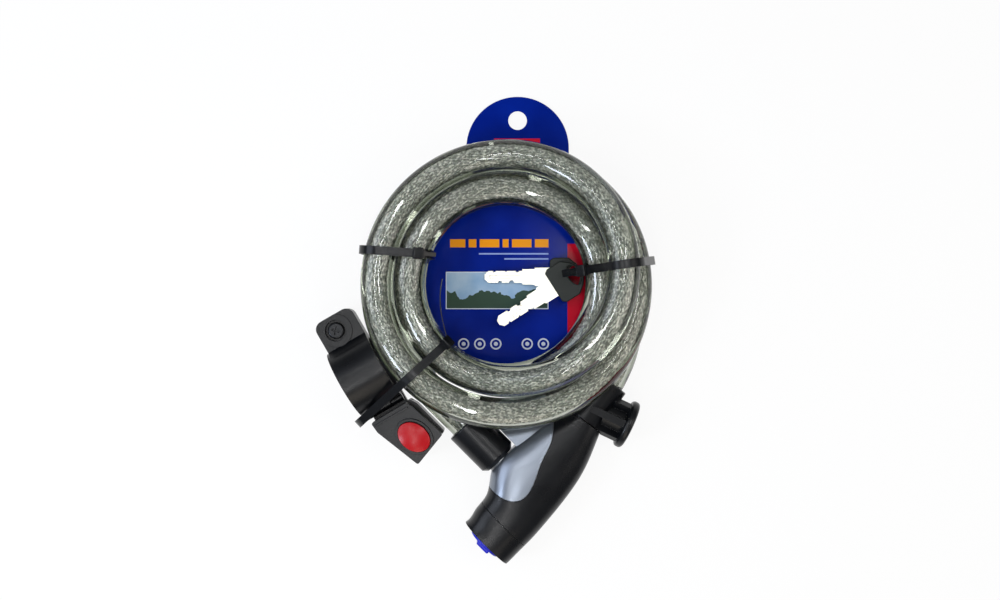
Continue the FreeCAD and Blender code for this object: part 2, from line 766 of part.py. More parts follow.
def make_clamp():
    """The two halves of the tube clamp with liner, hinge pin, screw and nut."""
    centre = band_radius
    half_width = band_width / 2
    inner = tube_d / 2 + liner_thickness
    ring = band_cylinder(band_radius, half_width)
    lug = block((half_width - lug_width, half_width), (10, lug_end), (-30, 3 * band_radius))
    corners = [
        e for e in lug.Edges
        if abs(e.tangentAt(0).z) > 0.9 and e.CenterOfMass.y > 20
    ]
    lug = lug.makeFillet(5.0, corners)
    upper_slab = block((-40, 40), (-60, 60), (centre + split_gap / 2, centre + 40))
    lower_slab = block((-40, 40), (-60, 60), (centre - 40, centre - split_gap / 2))
    x, y = lug_screw_place
    upper_lug = lug.common(block((-40, 40), (-60, 60), (centre, centre + lug_thickness)))
    boss = cylinder(Vector(x, y, centre), up, 19.0, lug_thickness + 0.9)
    boss = boss.common(lug)
    lower_lug = lug.common(block((-40, 40), (-60, 60), (centre - lug_thickness, centre)))
    bore = band_cylinder(inner + 0.03, 40)
    hole = cylinder(Vector(x, y, 0), up, clamp_screw_d + 0.5, 60)
    head_base = centre + lug_thickness - clamp_screw_recess
    recess = cylinder(Vector(x, y, head_base), up, clamp_screw_head_d + 2.7, 10)
    # The gusset that carries the band's crown down into the lug.
    lean = ((band_radius * 0.7, 1.0), (lug_screw_place[1] - 9.0, lug_thickness), (10, lug_thickness))
    lean = [Vector(half_width - lug_width, a, centre + b) for a, b in lean]
    lean[0].z = centre + math.sqrt(band_radius**2 - lean[0].y ** 2)
    gusset = Part.Face(Part.makePolygon(lean + lean[:1])).extrude(Vector(lug_width, 0, 0))
    upper = ring.fuse([upper_lug, boss, gusset]).common(upper_slab).cut(bore)
    upper = upper.cut(hole).cut(recess)
    hexagon = hex_prism(Vector(x, y, centre - lug_thickness - 1), 8.15, 5.2)
    lower = ring.fuse(lower_lug).common(lower_slab).cut(bore).cut(hole).cut(hexagon)
    middle = (-5.0, 5.0)
    outer = ((-half_width, -5.3), (5.3, half_width))
    barrel = along_x(-hinge_place, centre, hinge_barrel_d, *middle)
    clear_d = hinge_barrel_d + 0.8
    gap = along_x(-hinge_place, centre, clear_d, middle[0] - 0.15, middle[1] + 0.15)
    arm = block(middle, (-hinge_place, -inner - 0.5), (centre + 0.4, centre + 2.6))
    lower = lower.cut(gap)
    upper = upper.fuse([barrel, arm])
    for pair in outer:
        clear = along_x(-hinge_place, centre, clear_d, pair[0] - 0.3, pair[1] + 0.3)
        upper = upper.cut(clear)
    for pair in outer:
        barrel = along_x(-hinge_place, centre, hinge_barrel_d, *pair)
        arm = block(pair, (-hinge_place, -inner - 0.5), (centre - 2.6, centre - 0.4))
        lower = lower.fuse([barrel, arm])
    pin_hole = along_x(-hinge_place, centre, hinge_pin_d + 0.06, -30, 30)
    level_low, level_high = holder_bottom + 3.0, holder_bottom + 8.0
    tongue = block((-7, 7), (-tongue_reach, -14), (level_low, level_high))
    tongue = tongue.fuse(block(neck_sides, (-neck_reach, -14), (level_low, level_high)))
    tongue = tongue.cut(cylinder(Vector(0, -tongue_screw_place, 0), up, 2.5, 40))
    lower = lower.fuse(tongue.cut(band_cylinder(band_radius - 1.0, 40)))
    upper = upper.cut(bore).cut(pin_hole)
    lower = lower.cut(bore).cut(pin_hole)
    liner = band_cylinder(inner, half_width + 0.2).cut(band_cylinder(tube_d / 2, 40))
    halves = [biggest(liner.common(upper_slab)), biggest(liner.common(lower_slab))]
    pan = cylinder(Vector(x, y, head_base), up, clamp_screw_head_d, 3.0)
    top = [e for e in pan.Edges if e.Closed and e.CenterOfMass.z > head_base + 2]
    pan = pan.makeFillet(1.2, top)
    for turn in (45, 135):
        cross = block((-2.4, 2.4), (-0.55, 0.55), (1.2, 4))
        cross.Placement = Placement(Vector(x, y, head_base), Rotation(up, turn))
        pan = pan.cut(cross)
    screw_end = centre - lug_thickness - 1.4
    shank = cylinder(Vector(x, y, screw_end), up, clamp_screw_d, head_base - screw_end)
    screw = pan.fuse(shank)
    nut = hex_prism(Vector(x, y, centre - lug_thickness + 0.1), 8.0, 4.0)
    nut = nut.cut(cylinder(Vector(x, y, 0), up, clamp_screw_d + 0.02, 60))
    return {
        "clamp_upper": biggest(upper),
        "clamp_lower": biggest(lower),
        "tube_liner": Part.makeCompound(halves),
        "hinge_pin": along_x(-hinge_place, centre, hinge_pin_d, -half_width, half_width),
        "clamp_screw": screw,
        "clamp_nut": nut,
    }


def hex_prism(base, width, height):
    """A hexagonal prism, its size across flats."""
    radius = width / math.sqrt(3)
    turns = [math.pi * i / 3 for i in range(6)]
    ring = [base + Vector(radius * math.cos(a), radius * math.sin(a), 0) for a in turns]
    return Part.Face(Part.makePolygon(ring + ring[:1])).extrude(Vector(0, 0, height))


catch_floor = holder_bottom + 3.0
catch_roof = catch_floor + 7.0
button_lip = 0.8


def make_holder():
    """The quick-release catch of the bracket: cover, base, screws, button and spring."""
    cover = rounded_plate(holder_corners, holder_split, holder_top, 1.2)
    inside = inset_corners(holder_corners, -1.4)
    recess = rounded_plate(inside, holder_top - 0.9, holder_top + 1, 0.8)
    boss = catch_oval(1.8, holder_split, holder_top + 1.0)
    boss = boss.common(rounded_plate(holder_corners, holder_split, holder_top + 2, 1.2))
    rib_line = band_radius + 7.6
    rib = block((-8.8, 13.0), (-rib_line - 1, -rib_line), (holder_top - 2, holder_top + 0.6))
    cover = cover.cut(recess).fuse([boss, rib])
    lip_top = holder_top - 3.0
    cavity = catch_oval(button_lip + button_fit, holder_split - 1, lip_top)
    cover = cover.cut(cavity).cut(catch_oval(button_fit, holder_split, holder_top + 5))
    base = rounded_plate(base_corners, holder_bottom, holder_split - 0.1, 1.2)
    channel = to_button(block((-6.0, 20.0), (-7.5, 7.5), (catch_floor, catch_roof)))
    base = base.cut(channel)
    foot_hole = to_button(block((-5.6, 3.0), (-3.4, 3.4), (holder_bottom - 1, catch_floor + 1)))
    stem_hole = to_button(block((-5.6, -2.4), (-3.4, 3.4), (catch_floor, holder_split + 1)))
    base = base.cut(foot_hole).cut(stem_hole)
    low, high = holder_bottom + 2.9, holder_bottom + 8.1
    base = base.cut(block((-7.1, 7.1), (-tongue_reach - 0.1, -10), (low, high)))
    base = base.cut(block((-20, 20), (-neck_reach - 0.1, -10), (low, high)))
    screws = []
    for u, v, length in ((-9.5, 9.6, 16.0), (-9.5, -8.6, 16.0)):
        spot = to_button(Part.Vertex(u, v, 0)).Point
        screws.append(small_screw(spot.x, spot.y, length))
    screws.append(small_screw(0, -tongue_screw_place, 7.4))
    for screw in screws:
        box = screw.BoundBox
        x, y = box.Center.x, box.Center.y
        base = base.cut(cylinder(Vector(x, y, 0), up, 2.6, holder_split + 1))
        base = base.cut(cylinder(Vector(x, y, 0), up, 5.2, holder_bottom + 1.9))
        cover = cover.cut(cylinder(Vector(x, y, 0), up, 2.5, box.ZMax + 0.3))

    button = catch_oval(0, lip_top - 2.6, holder_top + button_rise + 1.6)
    lip = catch_oval(button_lip, lip_top - 2.6, lip_top - 0.3)
    crown = holder_top + button_rise + 1.6
    dome_radius = 26.0
    dome_centre = Vector(button_place[0], button_place[1], crown - dome_radius)
    dome = Part.makeSphere(dome_radius, dome_centre)
    button = button.common(dome).fuse(lip)
    well_x = 1.6
    well = to_button(cylinder(Vector(well_x, 0, 0), up, spring_d + 1.4, crown - 3.0))
    button = button.cut(well)
    stem = to_button(block((-5.3, -3.0), (-3.0, 3.0), (catch_floor - 0.6, lip_top - 1)))
    foot = to_button(block((-5.3, 2.6), (-3.0, 3.0), (catch_floor - 0.6, catch_floor + 1.4)))
    button = biggest(button.fuse([stem, foot]).removeSplitter())
    spring_base = holder_split + spring_wire / 2 - 0.05
    spring_top = crown - 3.0 - spring_wire / 2 - 0.05
    edges = spring_edges(spring_d - spring_wire, spring_base, spring_top, spring_turns)
    spring = to_button(moved(round_tube(edges, spring_wire), Vector(well_x, 0, 0)))
    print("least gap between spring turns %.2f" % least_gap(edges, spring_wire, 0.25))
    return {
        "holder_cover": biggest(cover),
        "holder_base": biggest(base),
        "holder_screws": Part.makeCompound(screws),
        "release_button": button,
        "button_spring": spring,
    }


def moved(shape, by):
    shape.translate(by)
    return shape


def small_screw(x, y, length):
    """A slotted screw from beneath, its head sunk into the holder."""
    head = cylinder(Vector(x, y, holder_bottom + 0.4), up, 4.6, 1.5)
    head = head.cut(block((x - 0.3, x + 0.3), (y - 3, y + 3), (0, holder_bottom + 1.0)))
    return head.fuse(cylinder(Vector(x, y, holder_bottom + 1.8), up, 2.4, length - 1.4))


def spring_edges(mean_d, bottom, top, turns):
    """A round spring of biarcs, eight to a turn."""
    radius = mean_d / 2
    end = 2 * math.pi * turns
    rise = (top - bottom) / end

    def point(a):
        return Vector(radius * math.cos(a), radius * math.sin(a), bottom + rise * a)

    def heading(a):
        return Vector(-radius * math.sin(a), radius * math.cos(a), rise).normalize()

    edges = []
    count = 4 * turns
    for i in range(count):
        a, b = end * i / count, end * (i + 1) / count
        edges += biarc(point(a), heading(a), point(b), heading(b))
    return edges


def hull(points):
    """The corners of the convex outline round some points, anticlockwise."""
    points = sorted(set((round(x, 3), round(y, 3)) for x, y in points))

    def half(row):
        kept = []
        for p in row:
            while len(kept) > 1 and turn_of(kept[-2], kept[-1], p) <= 0.5:
                kept.pop()
            kept.append(p)
        return kept[:-1]

    return half(points) + half(points[::-1])


def turn_of(a, b, c):
    return (b[0] - a[0]) * (c[1] - a[1]) - (b[1] - a[1]) * (c[0] - a[0])


def round_outline(corners, radius):
    """A belt round equal circles on the corners, as a face in the x-y plane."""
    edges = []
    count = len(corners)
    points = [Vector(x, y, 0) for x, y in corners]
    outward = [
        (points[(i + 1) % count] - points[i]).normalize().cross(up) for i in range(count)
    ]
    for i in range(count):
        a, b = points[i] + outward[i] * radius, points[(i + 1) % count] + outward[i] * radius
        edges.append(Part.makeLine(a, b))
        after = outward[(i + 1) % count]
        middle = (outward[i] + after).normalize()
        corner = points[(i + 1) % count]
        edges.append(Part.Arc(b, corner + middle * radius, corner + after * radius).toShape())
    return Part.Face(Part.Wire(edges))


class TiePlane:
    """An upright plane across the coil. s runs outward in it, from beside the ring's middle."""

    def __init__(self, near, far):
        self.along = Vector(far[0] - near[0], far[1] - near[1], 0).normalize()
        self.normal = self.along.cross(up)
        self.offset = Vector(near[0], near[1], 0).dot(self.normal)
        self.place = Placement(
            self.normal * self.offset, Rotation(self.along, up, self.normal, "XYZ")
        )

    def crossings(self, points):
        """Where a row of points passes through the outward half of the plane."""
        found = []
        for p, q in zip(points, points[1:]):
            a, b = p.dot(self.normal) - self.offset, q.dot(self.normal) - self.offset
            if a * b > 0 or a == b:
                continue
            cross = p + (q - p) * (a / (a - b))
            if cross.dot(self.along) < 0:
                continue
            squareness = abs(level(q - p).dot(self.normal))
            skew = cable_d / 2 * (1 / squareness - 1)
            skew += tie_width / 2 * math.tan(math.acos(squareness))
            for side in (-skew, skew):
                found.append((cross.dot(self.along) + side, cross.z))
        return found

    def strip(self, start, end, width, thickness):
        """A straight strip between two points of the plane."""
        a, b = Vector(start[0], start[1], 0), Vector(end[0], end[1], 0)
        side = up.cross((b - a).normalize()) * (thickness / 2)
        ring = [a - side, b - side, b + side, a + side, a - side]
        solid = Part.Face(Part.makePolygon(ring)).extrude(Vector(0, 0, width))
        solid.translate(Vector(0, 0, -width / 2))
        solid.Placement = self.place.multiply(solid.Placement)
        return solid


def make_tie(plane, points, extra):
    """A strap drawn round every strand that crosses the plane, and round extra centres."""
    centres = plane.crossings(points) + list(extra)
    corners = hull(centres)
    inner = round_outline(corners, cable_d / 2 + tie_slack)
    outer = round_outline(corners, cable_d / 2 + tie_slack + tie_thickness)
    strap = outer.cut(inner).extrude(Vector(0, 0, tie_width))
    strap.translate(Vector(0, 0, -tie_width / 2))
    strap.Placement = plane.place.multiply(strap.Placement)
    print("tie centres", [(round(a, 1), round(b, 1)) for a, b in sorted(centres)])
    return strap


def on_strap(centre, turn, rise):
    """A point above the middle of the strap where it bends round a centre."""
    reach = cable_d / 2 + tie_slack + tie_thickness / 2 + rise
    turn = math.radians(turn)
    return (centre[0] + reach * math.cos(turn), centre[1] + reach * math.sin(turn))


def tie_head(plane, centre, turn):
    """The tie's locking head, lying on the strap where it bends round a centre."""
    middle = Vector(*on_strap(centre, turn, 1.2), 0)
    along = Vector(-math.sin(math.radians(turn)), math.cos(math.radians(turn)), 0)
    half = 2.9
    a, b = middle - along * half, middle + along * half
    head = plane.strip((a.x, a.y), (b.x, b.y), 6.6, 4.0)
    return head.makeFillet(0.7, head.Edges)


right_plane = TiePlane((47.4, 8.0), (82.8, 13.1))
left_plane = TiePlane((-48.5, 17.1), (-80.0, 19.4))
low_plane = TiePlane((-32.6, -33.1), (-80.0, -76.4))
key_side_slack = 4.4


def make_ties(points):
    """The three cable ties that hold the coil; the right one also carries the keys."""
    inner = inner_lane - key_side_slack
    extra = [(inner, front_height), (inner, rear_height)]
    right = make_tie(right_plane, points, extra)
    right = right.fuse(tie_head(right_plane, extra[0], 128))
    start = on_strap(extra[0], 138, 1.6)
    end = (start[0] - 8.6, start[1] - 11.0)
    right = right.fuse(right_plane.strip(start, end, tie_width - 0.6, 1.0))

    left = make_tie(left_plane, points, [])
    lane = (min(left_plane.crossings(points))[0], front_height)
    left = left.fuse(tie_head(left_plane, lane, 104))
    start = on_strap(lane, 112, 1.8)
    end = (start[0] - 8.0, start[1] - 4.0)
    left = left.fuse(left_plane.strip(start, end, tie_width - 2.4, 1.0))

    hinge_tip = bracket_place.multVec(Vector(-band_width / 2, -hinge_place, 0))
    over_band = band_centres(low_plane)
    wrap = (hinge_tip.dot(low_plane.along) - cable_d / 2, band_radius)
    under_band = (wrap[0] - 17.5, rear_height + 2.6)
    under_card = (inner_lane + turn_step, rear_height)
    low_corner = (wrap[0], wrap[1] - 5.0)
    low = make_tie(low_plane, points, [wrap, low_corner, under_band, under_card] + over_band)
    lane = (min(low_plane.crossings(points))[0], front_height)
    low = low.fuse(tie_head(low_plane, lane, 140))
    low = low.fuse(standing_tail())
    return {"tie_right": biggest(right), "tie_left": biggest(left), "tie_low": biggest(low)}


def band_centres(plane):
    """Centres that carry a strap in the plane over the outside of the clamp's band."""
    tube_line = bracket_place.Rotation.multVec(Vector(1, 0, 0))
    across = bracket_place.Rotation.multVec(Vector(0, 1, 0))
    found = []
    for reach in (-band_width / 2, 0, band_width / 2):
        line = bracket_place.Base + tube_line * reach
        for edge in (-tie_width / 2, tie_width / 2):
            side = (plane.offset + edge - line.dot(plane.normal)) / across.dot(plane.normal)
            if abs(side) >= band_radius:
                continue
            rise = math.sqrt(band_radius**2 - side**2)
            spot = line + across * side
            out = Vector(side * across.dot(plane.along), rise, 0).normalize() * (cable_d / 2)
            found.append((spot.dot(plane.along) - out.x, band_radius + rise - out.y))
    return found


def standing_tail():
    """The low tie's spare end: it leaves the head and stands on edge inside the ring."""
    way = (
        Vector(-32.4, -31.2, 0),
        Vector(-33.6, -26.5, 0),
        Vector(-35.6, -17.6, 0),
        Vector(-36.4, -10.3, 0),
        Vector(-35.2, 2.8, 0),
    )
    curve = Part.BSplineCurve()
    curve.interpolate(list(way))
    half = 0.5
    edge = curve.toShape()
    face = edge.extrude(Vector(0, 0, tie_width - 0.6))
    solid = face.makeOffsetShape(half, 0.01, fill=True)
    solid.translate(Vector(0, 0, front_height + 4.0))
    return Part.Solid(solid) if solid.ShapeType == "Shell" else solid


key_places = (
    (Vector(40.4, 4.4, 8.1), 180.0, 7.0),
    (Vector(40.3, 5.6, 12.9), 212.5, 7.0),
)
key_hole_to_front = 14.0


def make_key(number):
    """One key, flat, from the middle of its hole towards its tip: blade and moulded bow."""
    outline = (
        (key_hole_to_front, 9.6),
        (11.6, 11.2),
        (3.0, 11.2),
        (-1.5, 7.8),
        (-5.0, 3.0),
    )
    corners = list(outline) + [(x, -y) for x, y in outline[::-1]]
    bow = rounded_plate(corners, 0, bow_thickness, 1.4)
    rims = [e for e in bow.Edges if abs(e.CenterOfMass.z - bow_thickness / 2) > 0.1]
    bow = bow.makeChamfer(0.5, rims)
    hole = Part.Ellipse(Vector(0, 0, 0), key_hole[1] / 2, key_hole[0] / 2).toShape()
    hole = Part.Face(Part.Wire([hole])).extrude(Vector(0, 0, 20))
    hole.Placement = Placement(Vector(0, 0, -5), Rotation(up, 90))
    bow = bow.cut(hole)
    front = key_hole_to_front
    steps = ((5.5, front + 8.8, 5.4), (front + 8.7, front + 16.0, 4.55))
    low = (bow_thickness - key_thickness) / 2
    blade = [block((a, b), (-w, w), (low, low + key_thickness)) for a, b, w in steps]
    tip = front + 38.4
    half = key_blade_width / 2
    nose = [(front + 15.9, -half), (tip - 2.2, -half), (tip, -half + 2.2), (tip, half - 2.2)]
    nose += [(tip - 2.2, half), (front + 15.9, half)]
    blade.append(prism(nose, low, low + key_thickness))
    blade = blade[0].fuse(blade[1:]).removeSplitter()
    for i, depth in enumerate((0.9, 1.5, 0.6, 1.2, 0.8)):
        x = front + 19.0 + 3.4 * i
        side = half if (i + number) % 2 else -half
        notch = Vector(x, side * 1.0, 0)
        cut = cylinder(notch - up, up, 2 * depth, 12)
        blade = blade.cut(cut)
    groove = block((front + 17.0, tip - 3.0), (-0.8, 0.8), (low + key_thickness - 0.7, 10))
    blade = blade.cut(groove)
    bow = bow.cut(blade)
    return {"key_blade": blade, "key_bow": bow}


def prism(corners, bottom, top):
    ring = [Vector(x, y, bottom) for x, y in corners]
    return Part.Face(Part.makePolygon(ring + ring[:1])).extrude(Vector(0, 0, top - bottom))


def make_keys():
    """The two keys on the right tie: the lower points left, the upper down and left."""
    pieces = {}
    for number, (spot, turn, dip) in enumerate(key_places):
        place = Placement(spot, Rotation(up, turn).multiply(Rotation(Vector(0, 1, 0), dip)))
        for name, shape in make_key(number).items():
            shape.Placement = place.multiply(shape.Placement)
            pieces["%s_%s" % (name, "ab"[number])] = shape
    return pieces


def make_card(points):
    """The printed hanger card behind the coil, with its peg hole and slits for the ties."""
    body = (card_middle - 55.0, card_middle + 54.2)
    sheet = block(body, (-52.0, 55.0), (card_height, card_height + card_thickness))
    corners = [e for e in sheet.Edges if abs(e.tangentAt(0).z) > 0.9]
    sheet = sheet.makeFillet(4.0, corners)
    tab_radius = 30.2
    tab_middle = peg_hole_height - 16.2
    base = Vector(card_middle, tab_middle, card_height)
    tab = cylinder(base, up, 2 * tab_radius, card_thickness)
    neck = block(
        (card_middle - tab_radius, card_middle + tab_radius), (40.0, tab_middle),
        (card_height, card_height + card_thickness),
    )
    sheet = sheet.fuse([tab, neck]).removeSplitter()
    sheet = sheet.cut(cylinder(Vector(card_middle, peg_hole_height, 0), up, peg_hole_d, 5))
    inner = cable_d / 2 + tie_slack
    below = rear_height - card_height
    above = below - card_thickness
    first = math.sqrt((inner + tie_thickness) ** 2 - above**2) + 0.5
    last = math.sqrt(max(inner**2 - below**2, 0)) - 0.5
    for plane, lane in (
        (right_plane, inner_lane - key_side_slack),
        (left_plane, min(left_plane.crossings(points))[0]),
        (low_plane, min(low_plane.crossings(points))[0]),
    ):
        half = tie_width / 2 + 0.4
        slit = block((lane - first, lane - last), (-1, 5), (-half, half))
        slit.Placement = plane.place.multiply(slit.Placement)
        sheet = sheet.cut(slit)
    return {"hanger_card": biggest(sheet)}


if __name__ == "__main__":
    os.makedirs("parts", exist_ok=True)
    nodes, route = make_cable()
    for group in (make_head(), make_plug(), make_latch()):
        for name, shape in group.items():
            shape.Placement = head_place.multiply(shape.Placement)
            nodes[name] = shape
    for group in (make_clamp(), make_holder()):
        for name, shape in group.items():
            shape.Placement = bracket_place.multiply(shape.Placement)
            nodes[name] = shape
    nodes.update(make_collar())
    nodes.update(make_ferrule())
    points = points_along(route, 1.0)
    nodes.update(make_ties(points))
    nodes.update(make_keys())
    nodes.update(make_card(points))
    whole = FreeCAD.BoundBox()
    for name, shape in nodes.items():
        shape.translate(Vector(ring_centre[0], ring_centre[1], 0))
        box = shape.optimalBoundingBox(False)
        if not name.startswith(("cable_j", "cable_c", "lead")):
            whole.add(box)
        print(name, shape.isValid(), len(shape.Solids), round(shape.Volume, 1),
              [round(v, 1) for v in (box.XMin, box.XMax, box.YMin, box.YMax, box.ZMin, box.ZMax)])
        shape.exportStep("parts/" + name + ".step")
    print("without the cable", whole)
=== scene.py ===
import math

import bmesh
import bpy
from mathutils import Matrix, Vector


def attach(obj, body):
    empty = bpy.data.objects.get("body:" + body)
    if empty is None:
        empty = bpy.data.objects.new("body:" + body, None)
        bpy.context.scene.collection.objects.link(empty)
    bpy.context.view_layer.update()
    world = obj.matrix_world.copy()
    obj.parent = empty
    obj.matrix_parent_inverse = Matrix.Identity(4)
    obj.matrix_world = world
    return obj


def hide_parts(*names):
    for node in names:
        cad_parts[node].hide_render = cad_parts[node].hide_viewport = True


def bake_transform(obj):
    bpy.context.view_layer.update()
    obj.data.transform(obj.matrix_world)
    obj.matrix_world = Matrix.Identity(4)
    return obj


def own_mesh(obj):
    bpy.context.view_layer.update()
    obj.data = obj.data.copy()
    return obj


# Coiled bicycle cable lock, tied up on its hanger card, seen from straight above.
# Sizes are written in millimetres, and mm turns them to metres.
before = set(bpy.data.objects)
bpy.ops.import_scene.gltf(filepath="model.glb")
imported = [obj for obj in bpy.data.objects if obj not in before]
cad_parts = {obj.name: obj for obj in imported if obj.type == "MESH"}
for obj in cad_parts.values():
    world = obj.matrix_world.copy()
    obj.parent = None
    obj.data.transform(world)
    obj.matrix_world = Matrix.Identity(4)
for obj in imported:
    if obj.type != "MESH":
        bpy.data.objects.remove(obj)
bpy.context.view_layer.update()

# The camera: it hangs above the ring's middle and looks straight down, with the card's tab
# at the top of the picture.
mm = 0.001
view_middle, view_height = (8.44, 16.36), 827
view = bpy.data.cameras.new("above")
view.lens = 50.4
view.sensor_width = 36.0
view.clip_start = 0.02
view.clip_end = 10.0
camera = bpy.data.objects.new("above", view)
camera.location = (view_middle[0] * mm, view_middle[1] * mm, view_height * mm)
bpy.context.collection.objects.link(camera)
bpy.context.scene.camera = camera

# The cable's way: the lead leaves the collar of the lock head, two rear turns lie on the
# card, the cable rises to a front turn, crosses over the ferrule and ends in it. The pairs
# of angles given to ease are where it swings, climbs or comes down, counted along the turns.
cable_radius = 9.0 * mm
inner_lane, turn_step, outer_bulge = 55.4, 18.5, 1.4
lead_radius, lead_in_end, lead_slope = 83.0, 65.0, 1.13
rear_height, front_height, head_height, cross_height = 11.1, 29.6, 14.5, 36.05
crest_rise = 19.5
lead_angle, bend_end_angle, tie_angle, leave_angle = -42.8, 9.0, 16.0, 1305.0
ring_centre = Vector((11.3, 25.5, 0.0))
collar_points = (27, 18, 9)
tail_points = (14, 28, 40, 52.5)


def ease(angle, start, end, start_slope=0.0):
    """0 before start, 1 after end and a smooth rise between them."""
    t = min(max((angle - start) / (end - start), 0.0), 1.0)
    return t * t * (3 - 2 * t) + start_slope * t * (1 - t) ** 2


def cable_point(angle):
    """The middle of the cable after so many degrees of turning, in metres."""
    swing = ease(angle, lead_angle, lead_in_end, lead_slope)
    radius = lead_radius - (lead_radius - inner_lane) * swing
    radius += turn_step * ease(angle, 620, 800)
    radius += outer_bulge * (ease(angle, 980, 1050) - ease(angle, 1080, 1160))
    height = rear_height + (head_height - rear_height) * (1 - ease(angle, lead_angle, 10))
    height += turn_step * ease(angle, 270, 390)
    height += crest_rise * (ease(angle, 590, 685) - ease(angle, 730, 825))
    height += (cross_height - front_height) * (ease(angle, 880, 950) - ease(angle, 1035, 1090))
    height -= turn_step * ease(angle, 1095, 1178)
    height += (head_height - rear_height) * ease(angle, 1250, 1305)
    turn = math.radians(angle)
    around = Vector((radius * math.cos(turn), radius * math.sin(turn), height))
    return (around + ring_centre) * mm


def flat_heading(angle):
    """The way the cable runs at an angle, seen from above."""
    ahead = cable_point(angle + 0.5) - cable_point(angle - 0.5)
    return Vector((ahead.x, ahead.y, 0)).normalized()


def turn_points(first, last, step=15.0):
    """Points along the turns, about a step of degrees apart."""
    count = max(2, round((last - first) / step))
    return [cable_point(first + (last - first) * i / count) for i in range(count + 1)]


def route_curve(name, points, radius=0.0):
    """A smooth spline through the route's points, round if it is given a radius."""
    curve = bpy.data.curves.new(name, "CURVE")
    curve.dimensions = "3D"
    spline = curve.splines.new("NURBS")
    spline.points.add(len(points) - 1)
    for place, point in zip(spline.points, points):
        place.co = (*point, 1.0)
    spline.order_u = 3
    spline.use_endpoint_u = True
    curve.resolution_u = 12
    curve.bevel_depth = radius
    curve.bevel_resolution = 9
    curve.use_fill_caps = True
    piece = bpy.data.objects.new(name, curve)
    bpy.context.collection.objects.link(piece)
    return piece


def line_of(points):
    """The points that the smooth spline runs through, read from the spline itself."""
    bare = route_curve("bare_route", points)
    bare.data.use_fill_caps = False
    mesh = bpy.data.meshes.new_from_object(bare)
    line = [v.co.copy() for v in mesh.vertices]
    bpy.data.objects.remove(bare)
    bpy.data.meshes.remove(mesh)
    return line


lead_mouth = cable_point(lead_angle)
lead_back = flat_heading(lead_angle) * -1
lead_route = [lead_mouth + lead_back * (d * mm) for d in collar_points]
lead_route += turn_points(lead_angle, tie_angle, 12.0)
leave_point = cable_point(leave_angle)
tail = flat_heading(leave_angle)
coil_route = turn_points(tie_angle, leave_angle)
coil_route += [leave_point + tail * (d * mm) for d in tail_points]

# The jacket: clear soft PVC, extruded over the steel. It bends the light, so that the core
# inside looks half as thick again. Its rims get a painted shade, a colour that darkens where
# the surface turns away from the view, and its skin has slow waves and a little haze from the die
# and from handling.
cloud_mm, wave_mm = 35.7, 18.2


def linear(code):
    """Linear red, green, blue and 1 of an sRGB hex colour."""
    parts = [int(code[i : i + 2], 16) / 255 for i in (0, 2, 4)]
    return (*[p / 12.92 if p <= 0.04045 else ((p + 0.055) / 1.055) ** 2.4 for p in parts], 1.0)


def add(tree, kind, inputs=None, **settings):
    """Adds a node, with its settings, its values and what is linked to it."""
    node = tree.nodes.new("ShaderNode" + kind)
    for key, value in settings.items():
        setattr(node, key, value)
    for key, value in (inputs or {}).items():
        if isinstance(value, bpy.types.NodeSocket):
            tree.links.new(value, node.inputs[key])
        else:
            node.inputs[key].default_value = value
    return node


def new_material(name):
    """An empty material with its shader and the object's coordinates."""
    material = bpy.data.materials.new(name)
    material.use_nodes = True
    tree = material.node_tree
    tree.nodes.clear()
    shader = add(tree, "BsdfPrincipled")
    add(tree, "OutputMaterial", {"Surface": shader.outputs[0]})
    return material, tree, shader, add(tree, "TexCoord").outputs["Object"]


def mixed(tree, factor, first, second):
    """A colour between two, each an sRGB hex code or an output of another node."""
    colours = [linear(c) if isinstance(c, str) else c for c in (first, second)]
    inputs = {"Factor": factor, 6: colours[0], 7: colours[1]}
    return add(tree, "Mix", inputs, data_type="RGBA").outputs[2]


def cells(size_mm):
    """The scale of a noise whose cells are that many millimetres wide."""
    return 1 / (size_mm * mm)


clear_pvc, tree, shader, place = new_material("clear_soft_pvc")
cloud = add(tree, "TexNoise", {"Vector": place, "Scale": cells(cloud_mm), "Detail": 2.0})
body = mixed(tree, cloud.outputs[0], "E2E6DA", "F2F3EC")
# Painted shade: the colour darkens to grey-green on the rims, where the surface turns away from
# the view.
slant = add(tree, "LayerWeight", {"Blend": 0.5})
painted_rim_shade = add(
    tree, "MapRange", {"Value": slant.outputs["Facing"], "From Min": 0.08, "From Max": 0.44}
)
tree.links.new(mixed(tree, painted_rim_shade.outputs[0], body, "6E7665"), shader.inputs["Base Color"])
wave = add(tree, "TexNoise", {"Vector": place, "Scale": cells(wave_mm), "Detail": 1.0})
haze = add(tree, "MapRange", {"Value": wave.outputs[0], "To Min": 0.015, "To Max": 0.05})
tree.links.new(haze.outputs[0], shader.inputs["Roughness"])
dent = add(tree, "Bump", {"Height": wave.outputs[0], "Strength": 0.05, "Distance": 0.5 * mm})
tree.links.new(dent.outputs[0], shader.inputs["Normal"])
shader.inputs["IOR"].default_value = 1.5
shader.inputs["Transmission Weight"].default_value = 1.0

coil = route_curve("cable_coil", coil_route, cable_radius)
coil.data.materials.append(clear_pvc)
lead_tube = route_curve("lead_tube", lead_route, cable_radius)
lead = bpy.data.objects.new("cable_lead", bpy.data.meshes.new_from_object(lead_tube))
bpy.context.collection.objects.link(lead)
bpy.data.objects.remove(lead_tube)
lead.data.materials.clear()
lead.data.materials.append(clear_pvc)
for face in lead.data.polygons:
    face.use_smooth = True

# The core: a twisted steel rope in a sleeve of braided bright wires, as many one way round
# as the other, each over one and under the next. The real sleeve has several times as many
# wires, finer than the picture can show, so these are drawn coarser.
braid_pitch = 96.0 * mm
wires_each_way = 16
wire_radius = 0.42 * mm
wire_step = 1.2 * mm
braid_radius = 3.5 * mm
braid_lift = 0.22 * mm
rope_radius = 3.1 * mm
end_margin = 0.6 * mm
fleck_mm, rope_lay_mm = 2.381, 2.0


